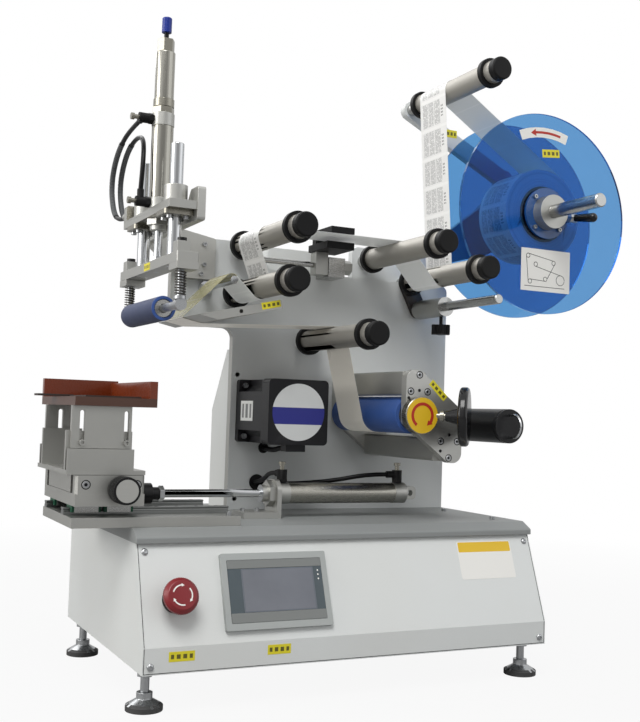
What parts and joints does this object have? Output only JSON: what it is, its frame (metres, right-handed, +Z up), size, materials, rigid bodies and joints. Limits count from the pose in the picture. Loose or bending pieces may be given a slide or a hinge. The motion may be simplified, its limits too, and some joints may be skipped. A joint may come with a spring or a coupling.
{
  "type": "benchtop roll-on labeling machine",
  "caption": "Benchtop roll-on labeling machine with a label reel, guide rollers, traction unit, spring-loaded press roller, sliding product table and touch panel",
  "frame": {"origin": "Centre of the bounding box on the floor plane, under the levelling feet", "axes": "+X to the operator's right, towards the label reel; +Y to the rear; +Z up"},
  "size_m": [0.8794, 0.3723, 0.825],
  "materials": {
    "coat_white": "powder coat, semi-matt",
    "coat_grey": "powder coat, semi-matt",
    "plate_aluminium": "fine brushed and anodised",
    "bright_steel": "ground",
    "chrome_rod": "hard chrome",
    "black_plastic": "moulded",
    "black_steel": "black, satin",
    "blue_acrylic": "clear blue sheet",
    "blue_rubber": "ground",
    "black_rubber": "moulded",
    "red_plastic": "moulded",
    "screen_glass": "gloss",
    "label_paper": "semi-gloss",
    "fixture_brown": "machined",
    "spring_steel": "wire"
  },
  "bodies": {
    "frame": {"cabinet_shell": "coat_white", "cabinet_lid": "coat_grey", "levelling_feet": "black_plastic", "estop_base": "black_plastic", "touch_panel": "screen_glass", "cabinet_fittings": "coat_white", "control_modules": "black_steel", "main_plate": "coat_grey", "reel_bracket": "coat_grey", "rear_cover": "coat_white", "drive_frame": "plate_aluminium", "stepper_motor": "black_steel", "drive_belt": "black_rubber", "roller_axles": "bright_steel", "peel_plate": "plate_aluminium", "label_sensor": "plate_aluminium", "press_bracket": "plate_aluminium", "press_bearing_plate": "plate_aluminium", "press_cylinder": "bright_steel", "table_base": "plate_aluminium", "table_cylinder": "bright_steel", "flow_controls": "black_plastic", "label_web": "label_paper", "machine_screws": "bright_steel", "press_hose_top": "black_rubber", "press_hose_bottom": "black_rubber", "table_hose_near": "black_rubber", "table_hose_far": "black_rubber", "motor_cable": "black_rubber"},
    "roller_a": {"guide_roller_a": "plate_aluminium"},
    "roller_b": {"guide_roller_b": "plate_aluminium"},
    "roller_c": {"guide_roller_c": "plate_aluminium"},
    "roller_d": {"guide_roller_d": "plate_aluminium"},
    "roller_e": {"guide_roller_e": "plate_aluminium"},
    "roller_f": {"guide_roller_f": "plate_aluminium"},
    "estop_button": {"estop_head": "red_plastic"},
    "traction_shaft": {"traction_roller": "blue_rubber"},
    "motor_rotor": {"motor_shaft": "bright_steel"},
    "pinch_slide": {"pinch_axle": "bright_steel"},
    "pinch_wheel": {"pinch_roller": "black_rubber"},
    "pinch_lever": {"pinch_handle": "black_plastic"},
    "rewinder": {"rewind_drum": "black_plastic"},
    "clip": {"liner_clip": "bright_steel"},
    "reel": {"reel_hub": "bright_steel", "reel_inner_disc": "blue_acrylic", "label_roll": "label_paper"},
    "outer_disc": {"reel_outer_disc": "blue_acrylic"},
    "clamp_lever": {"reel_clamp_lever": "black_plastic"},
    "dancer": {"dancer_arm": "bright_steel"},
    "dancer_clamp": {"dancer_knob": "black_plastic"},
    "press_carriage": {"crosshead": "plate_aluminium", "press_rods": "chrome_rod", "press_springs": "spring_steel"},
    "roller_yoke": {"press_yoke": "bright_steel"},
    "applicator_roller": {"press_roller": "blue_rubber"},
    "table": {"table_carriage": "plate_aluminium", "table_piston_rod": "chrome_rod"},
    "cross_table": {"cross_slide": "plate_aluminium"},
    "cross_screw": {"cross_knob": "bright_steel"},
    "product_fixture": {"fixture": "fixture_brown"}
  },
  "joints": [
    {"name": "roller_a_spin", "type": "hinge", "parent": "frame", "child": "roller_a", "pos_m": [0.12825, -0.0305, 0.805], "axis": [0, 1, 0], "continuous": true},
    {"name": "roller_b_spin", "type": "hinge", "parent": "frame", "child": "roller_b", "pos_m": [-0.15325, -0.0305, 0.563], "axis": [0, 1, 0], "continuous": true},
    {"name": "roller_c_spin", "type": "hinge", "parent": "frame", "child": "roller_c", "pos_m": [-0.16125, -0.0305, 0.496], "axis": [0, 1, 0], "continuous": true},
    {"name": "roller_d_spin", "type": "hinge", "parent": "frame", "child": "roller_d", "pos_m": [0.05025, -0.0305, 0.563], "axis": [0, 1, 0], "continuous": true},
    {"name": "roller_e_spin", "type": "hinge", "parent": "frame", "child": "roller_e", "pos_m": [0.11725, -0.0305, 0.535], "axis": [0, 1, 0], "continuous": true},
    {"name": "roller_f_spin", "type": "hinge", "parent": "frame", "child": "roller_f", "pos_m": [-0.04875, -0.0305, 0.437], "axis": [0, 1, 0], "continuous": true},
    {"name": "estop_press", "type": "slide", "parent": "frame", "child": "estop_button", "axis": [0, 0.9349, -0.3549], "range_m": [0, 0.004], "stiffness_N_per_m": 1200, "springref_m": -0.004},
    {"name": "traction_spin", "type": "hinge", "parent": "frame", "child": "traction_shaft", "pos_m": [0.01725, -0.0305, 0.336], "axis": [0, 1, 0], "continuous": true},
    {"name": "motor_spin", "type": "hinge", "parent": "frame", "child": "motor_rotor", "pos_m": [-0.10625, -0.0305, 0.335], "axis": [0, 1, 0], "continuous": true},
    {"name": "pinch_open", "type": "slide", "parent": "frame", "child": "pinch_slide", "axis": [1, 0, 0], "range_m": [0, 0.004]},
    {"name": "pinch_spin", "type": "hinge", "parent": "pinch_slide", "child": "pinch_wheel", "pos_m": [0.05575, -0.0305, 0.336], "axis": [0, 1, 0], "continuous": true},
    {"name": "pinch_lever_turn", "type": "hinge", "parent": "frame", "child": "pinch_lever", "pos_m": [0.01725, -0.1275, 0.336], "axis": [0, 1, 0], "range_deg": [0, 90]},
    {"name": "rewind_spin", "type": "hinge", "parent": "frame", "child": "rewinder", "pos_m": [0.16225, -0.0305, 0.3255], "axis": [0, 1, 0], "continuous": true},
    {"name": "clip_pull", "type": "slide", "parent": "rewinder", "child": "clip", "axis": [0, -1, 0], "range_m": [0, 0.15]},
    {"name": "reel_spin", "type": "hinge", "parent": "frame", "child": "reel", "pos_m": [0.28975, -0.0305, 0.643], "axis": [0, 1, 0], "continuous": true},
    {"name": "outer_disc_draw", "type": "slide", "parent": "reel", "child": "outer_disc", "axis": [0, -1, 0], "range_m": [0, 0.1]},
    {"name": "clamp_lever_turn", "type": "hinge", "parent": "outer_disc", "child": "clamp_lever", "pos_m": [0.33075, -0.0385, 0.639], "axis": [1, 0, 0], "range_deg": [-60, 60]},
    {"name": "dancer_swing", "type": "hinge", "parent": "frame", "child": "dancer", "pos_m": [0.11725, 0.0805, 0.535], "axis": [0, 1, 0], "range_deg": [-35, 20]},
    {"name": "dancer_knob_turn", "type": "hinge", "parent": "dancer", "child": "dancer_clamp", "pos_m": [0.13825, 0.0165, 0.463], "axis": [0, 0, 1], "range_deg": [-360, 360]},
    {"name": "press_stroke", "type": "slide", "parent": "frame", "child": "press_carriage", "axis": [0, 0, 1], "range_m": [-0.03, 0.02]},
    {"name": "yoke_cushion", "type": "slide", "parent": "press_carriage", "child": "roller_yoke", "axis": [0, 0, 1], "range_m": [0, 0.008], "stiffness_N_per_m": 4000, "springref_m": -0.003, "deforming": ["press_springs"]},
    {"name": "press_roller_spin", "type": "hinge", "parent": "roller_yoke", "child": "applicator_roller", "pos_m": [-0.30975, -0.0055, 0.4535], "axis": [0, 1, 0], "continuous": true},
    {"name": "table_travel", "type": "slide", "parent": "frame", "child": "table", "axis": [1, 0, 0], "range_m": [0, 0.1]},
    {"name": "cross_travel", "type": "slide", "parent": "table", "child": "cross_table", "axis": [0, 1, 0], "range_m": [-0.01, 0.01]},
    {"name": "cross_screw_turn", "type": "hinge", "parent": "table", "child": "cross_screw", "pos_m": [-0.36175, -0.1185, 0.2407], "axis": [0, 1, 0], "range_deg": [-1800, 1800]},
    {"name": "fixture_height", "type": "slide", "parent": "cross_table", "child": "product_fixture", "axis": [0, 0, 1], "range_m": [-0.02, 0]}
  ],
  "couplings": [
    {"joint": "motor_spin", "follows": "traction_spin", "ratio": 2},
    {"joint": "pinch_open", "follows": "pinch_lever_turn", "m_per_rad": 0.0025465},
    {"joint": "cross_screw_turn", "follows": "cross_travel", "rad_per_m": 3141.6}
  ]
}
